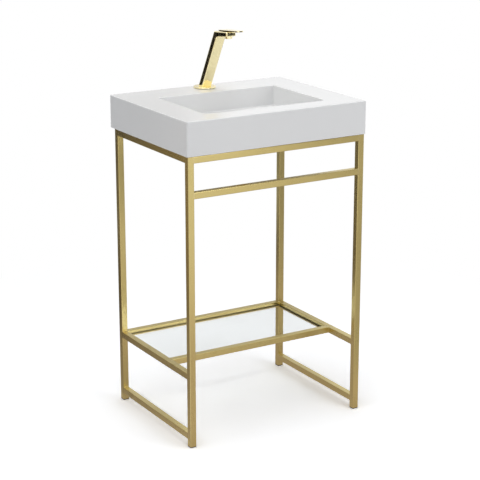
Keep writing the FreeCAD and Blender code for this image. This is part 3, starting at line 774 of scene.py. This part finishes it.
class WASHSTAND_OT_glass_shelf(bpy.types.Operator):
    """Makes the glass sheet with polished edges, and finishes the rubber strips that it lies on"""
    bl_idname = "washstand.glass_shelf"
    bl_label = "Glass shelf"

    def execute(self, context):
        settings = context.scene.washstand_shelf
        low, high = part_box("glass_shelf")
        bm = bmesh.new()
        block(bm, low, high)
        bevel(bm, upright_edges(bm), settings.corner, segments=6)
        bevel(bm, edges_at(bm, low.z) + edges_at(bm, high.z), settings.edge_round)
        add_piece("glass_sheet", bm, "toughened_glass", "stand", ("glass_shelf",),
                  sharp_angle=5.0)
        dress("dull_rubber", "shelf_strips")
        return {"FINISHED"}


class WASHSTAND_OT_basin(bpy.types.Operator):
    """Glazes the basin and finishes its pads"""
    bl_idname = "washstand.basin"
    bl_label = "Basin"

    def execute(self, context):
        dress("glazed_ceramic", "basin")
        dress("soft_silicone", "basin_pads")
        return {"FINISHED"}


class WASHSTAND_OT_drain(bpy.types.Operator):
    """Finishes the drain and its stopper"""
    bl_idname = "washstand.drain"
    bl_label = "Drain"

    def execute(self, context):
        dress("polished_gold", "drain_body", "drain_stopper")
        dress("dull_rubber", "drain_flange_seal", "drain_gasket", "stopper_ring")
        dress("machined_brass", "drain_nut", "drain_tailpiece")
        dress("moulded_white", "drain_guide")
        return {"FINISHED"}


class WASHSTAND_OT_tap(bpy.types.Operator):
    """Polishes the tap and finishes its inner pieces"""
    bl_idname = "washstand.tap"
    bl_label = "Tap"

    def execute(self, context):
        dress("polished_gold", "tap_body", "tap_base", "tap_lever", "aerator_housing")
        dress("machined_brass", "cartridge_ring", "tap_spindle")
        dress("moulded_white", "tap_cartridge", "aerator_insert")
        dress("stainless_steel", "lever_pin")
        return {"FINISHED"}


class WASHSTAND_OT_fixings(bpy.types.Operator):
    """Finishes the tap's fixings below the deck"""
    bl_idname = "washstand.fixings"
    bl_label = "Fixings"

    def execute(self, context):
        dress("machined_brass", "tap_shank", "tap_nut")
        dress("stainless_steel", "tap_steel_washer")
        dress("dull_rubber", "tap_gasket", "tap_rubber_washer")
        return {"FINISHED"}


# --- the studio -------------------------------------------------------------------
def add_camera(scene, settings):
    """The camera, turned to the right and dipped from straight ahead."""
    lens = bpy.data.cameras.new("camera")
    lens.lens = settings.lens
    lens.sensor_width = SENSOR_WIDTH
    lens.clip_end = 100.0
    camera = bpy.data.objects.new("camera", lens)
    camera.location = settings.camera_place
    camera.rotation_euler = (math.pi / 2 - settings.camera_dip, 0.0, -settings.camera_turn)
    scene.collection.objects.link(camera)
    scene.camera = camera


def stage_sheet(name, size, place, material, turn=LYING):
    """A flat staged sheet; its size is along X and Y, before it is turned and placed."""
    bm = bmesh.new()
    bmesh.ops.create_grid(bm, x_segments=1, y_segments=1, size=0.5)
    bmesh.ops.scale(bm, vec=(*size, 1.0), verts=bm.verts)
    bmesh.ops.transform(bm, matrix=Matrix.Translation(place) @ turn, verts=bm.verts)
    mesh = bpy.data.meshes.new(name)
    bm.to_mesh(mesh)
    bm.free()
    mesh.materials.append(material)
    sheet = bpy.data.objects.new(name, mesh)
    bpy.context.scene.collection.objects.link(sheet)
    return sheet


def seen_ray(tree):
    """1 for rays from the camera, a mirror or glass; gives the socket."""
    light = tree.nodes.new("ShaderNodeLightPath")
    first = math_node(tree, "MAXIMUM", light.outputs["Is Camera Ray"], light.outputs["Is Glossy Ray"])
    return math_node(tree, "MAXIMUM", first, light.outputs["Is Transmission Ray"])


def floor_material(settings):
    """A pale floor: it takes the shadow near the stand, and is plain white further out."""
    material, tree, shader = new_material("studio_floor", Roughness=0.9, Specular_IOR_Level=0.0,
                                          Emission_Color=(1.0, 1.0, 1.0, 1.0))
    floor = tuple(settings.floor)
    black = (0.0, 0.0, 0.0)
    shadow_end = 2.5 * settings.shadow_reach
    seen = seen_ray(tree)
    distance = add_node(tree, "ShaderNodeVectorMath", operation="LENGTH")
    tree.links.new(object_vector(tree), distance.inputs[0])
    far = span_node(tree, distance.outputs["Value"], settings.shadow_reach, shadow_end)
    unlit = math_node(tree, "MULTIPLY", far, seen)
    near = mix_colours(tree, seen, floor, tone(floor, settings.floor_gain))
    tree.links.new(mix_colours(tree, unlit, near, black), shader.inputs["Base Color"])
    tree.links.new(unlit, shader.inputs["Emission Strength"])
    surface = tree.nodes.new("ShaderNodeNewGeometry")
    clear = tree.nodes.new("ShaderNodeBsdfTransparent")
    mix_shaders(tree, surface.outputs["Backfacing"], shader.outputs["BSDF"], clear.outputs["BSDF"])
    return material


def card_material(name, tint, axis, stops):
    """A plain glow whose strength changes along one axis, through (place, strength) stops."""
    material = bpy.data.materials.new(name)
    material.use_nodes = True
    tree = material.node_tree
    tree.nodes.remove(tree.nodes["Principled BSDF"])
    place = split_vector(tree, object_vector(tree))[axis]
    strength = stops[0][1]
    for (low, before), (high, after) in zip(stops, stops[1:]):
        change = span_node(tree, place, low, high, 0.0, after - before)
        strength = math_node(tree, "ADD", change, strength)
    glow = add_node(tree, "ShaderNodeEmission", {"Color": (*tint, 1.0)})
    tree.links.new(strength, glow.inputs["Strength"])
    tree.links.new(glow.outputs["Emission"], tree.nodes["Material Output"].inputs["Surface"])
    return material


def painted_reflection_card(name, size, place, tint, axis, stops, turn=LYING):
    """A glowing card that shows in glossy faces alone: a painted reflection that lights nothing and
    casts no shadow.
    """
    card = stage_sheet(name, size, Vector(place), card_material(name, tint, axis, stops), turn)
    card.visible_camera = False
    card.visible_diffuse = False
    card.visible_shadow = False
    card.visible_transmission = False
    card.visible_volume_scatter = False


def set_up_cards(settings):
    """The cards, painted reflections: pale where the gold shines, and dark where the gold is to look
    shaded.
    """
    grey = tuple(settings.card_tint)
    warm = tuple(settings.floor_card_tint)
    amber = tuple(settings.side_card_tint)
    # painted dark reflections for the faces that look left
    painted_reflection_card("side_screen", size=(1.15, 2.8), place=(-0.95, 1.15, 0.575), turn=FACING_SIDE,
                tint=amber, axis="Y", stops=((0.93, 0.42), (1.22, 0.06), (1.30, 0.0)))
    painted_reflection_card("side_floor_card", size=(0.65, 1.9), place=(-0.62, 0.72, CARD_LIFT),
                tint=warm, axis="Y",
                stops=((-0.1, 0.50), (0.15, 0.36), (0.60, 0.33), (0.78, 0.15), (1.10, 0.06)))
    # painted reflections, pale and dark, for the faces that look to the front
    painted_reflection_card("front_floor_card", size=(2.6, 3.1), place=(1.01, 0.12, CARD_LIFT),
                tint=warm, axis="Y",
                stops=((-1.40, 0.95), (-0.85, 0.60), (-0.35, 0.68), (-0.10, 0.50)))
    painted_reflection_card("front_screen", size=(1.5, 0.9), place=(1.25, -1.44, 0.45), turn=FACING_FRONT,
                tint=grey, axis="X", stops=((0.60, 1.0), (0.98, 0.60), (1.30, 0.42)))
    painted_reflection_card("leg_card", size=(0.9, 0.5), place=(0.45, -0.5, 0.25), turn=FACING_FRONT,
                tint=grey, axis="X", stops=((0.0, 0.92), (0.14, 0.68), (0.70, 0.44)))
    painted_reflection_card("back_left_card", size=(0.24, 0.24), place=(-0.03, -0.16, 0.56), turn=FACING_FRONT,
                tint=grey, axis="Z", stops=((0.45, 0.60), (0.66, 0.28)))
    painted_reflection_card("back_right_card", size=(0.26, 0.36), place=(0.50, -0.16, 0.48), turn=FACING_FRONT,
                tint=grey, axis="Z", stops=((0.32, 0.42), (0.66, 0.24)))
    painted_reflection_card("head_card", size=(0.5, 0.4), place=(0.50, -0.8, 1.0), turn=FACING_FRONT,
                tint=grey, axis="Z", stops=((0.8, 0.03), (1.1, 0.03)))
    # painted reflections for the faces that look up: a dark one on the glass, and a pale one on the
    # basin's deck
    painted_reflection_card("glass_card", size=(1.0, 0.24), place=(0.87, 1.5, 0.84), turn=FACING_FRONT,
                tint=grey, axis="Z", stops=((0.6, 0.12), (1.0, 0.12)))
    painted_reflection_card("deck_card", size=(0.75, 0.5), place=(0.50, 1.5, 1.42), turn=FACING_FRONT,
                tint=grey, axis="X", stops=((0.62, 0.42), (0.87, 1.0)))


def area_lamp(name, place, target_height, size, power):
    """A soft rectangular lamp that looks at a point above the stand's middle."""
    lamp = bpy.data.lights.new(name, "AREA")
    lamp.shape = "RECTANGLE"
    lamp.size, lamp.size_y = size
    lamp.energy = power
    holder = bpy.data.objects.new(name, lamp)
    holder.location = place
    view = Vector((0.0, 0.0, target_height)) - Vector(place)
    holder.rotation_euler = view.to_track_quat("-Z", "Y").to_euler()
    holder.visible_camera = False
    bpy.context.scene.collection.objects.link(holder)


def surround(scene, settings):
    """White surroundings that light the stand at a lower level than they show."""
    world = bpy.data.worlds.new("surroundings")
    scene.world = world
    world.use_nodes = True
    tree = world.node_tree
    background = tree.nodes["Background"]
    background.inputs["Color"].default_value = (1.0, 1.0, 1.0, 1.0)
    strength = span_node(tree, seen_ray(tree), 0.0, 1.0, settings.ambient, 1.0)
    tree.links.new(strength, background.inputs["Strength"])


class WASHSTAND_OT_studio(bpy.types.Operator):
    """Sets the camera, the floor, the cards, the lamps and the white surroundings"""
    bl_idname = "washstand.studio"
    bl_label = "Studio"

    def execute(self, context):
        scene = context.scene
        settings = scene.washstand_studio
        add_camera(scene, settings)
        stage_sheet("floor", (FLOOR_SIZE, FLOOR_SIZE), -Z * FLOOR_DROP, floor_material(settings))
        set_up_cards(settings)
        area_lamp("top_lamp", place=(-0.1, -0.05, 3.0), target_height=0.9, size=(1.5, 1.2),
                  power=settings.top_power)
        area_lamp("front_lamp", place=(1.3, -2.6, 1.5), target_height=0.6, size=(1.6, 1.6),
                  power=settings.front_power)
        area_lamp("left_lamp", place=(-2.4, -0.3, 1.6), target_height=0.8, size=(1.2, 1.2),
                  power=settings.left_power)
        surround(scene, settings)
        scene.view_settings.view_transform = "Standard"
        return {"FINISHED"}


# --- the add-on -------------------------------------------------------------------
STEPS = (WASHSTAND_OT_stand, WASHSTAND_OT_foot_caps, WASHSTAND_OT_glass_shelf, WASHSTAND_OT_basin,
         WASHSTAND_OT_drain, WASHSTAND_OT_tap, WASHSTAND_OT_fixings, WASHSTAND_OT_studio)
SETTINGS = {"washstand_stand": StandFinish, "washstand_tap": TapFinish, "washstand_basin": BasinFinish,
            "washstand_shelf": ShelfFinish, "washstand_studio": StudioSettings}


class WASHSTAND_PT_panel(bpy.types.Panel):
    """Lists the pieces and their settings"""
    bl_idname = "WASHSTAND_PT_panel"
    bl_label = "Washstand"
    bl_space_type = "VIEW_3D"
    bl_region_type = "UI"
    bl_category = "Washstand"

    def draw(self, context):
        layout = self.layout
        for name, group in SETTINGS.items():
            box = layout.box()
            box.label(text=group.__doc__)
            for key in group.__annotations__:
                box.prop(getattr(context.scene, name), key)
        for step in STEPS:
            layout.operator(step.bl_idname)


def register():
    """Registers the settings, the operators and the panel."""
    for name, group in SETTINGS.items():
        bpy.utils.register_class(group)
        setattr(bpy.types.Scene, name, bpy.props.PointerProperty(type=group))
    for step in STEPS:
        bpy.utils.register_class(step)
    bpy.utils.register_class(WASHSTAND_PT_panel)


def unregister():
    """Takes them back in the reverse order."""
    bpy.utils.unregister_class(WASHSTAND_PT_panel)
    for step in reversed(STEPS):
        bpy.utils.unregister_class(step)
    for name, group in reversed(SETTINGS.items()):
        delattr(bpy.types.Scene, name)
        bpy.utils.unregister_class(group)


def main():
    register()
    bpy.ops.washstand.stand()
    bpy.ops.washstand.foot_caps()
    bpy.ops.washstand.glass_shelf()
    bpy.ops.washstand.basin()
    bpy.ops.washstand.drain()
    bpy.ops.washstand.tap()
    bpy.ops.washstand.fixings()
    bpy.ops.washstand.studio()


if __name__ == "__main__":
    main()
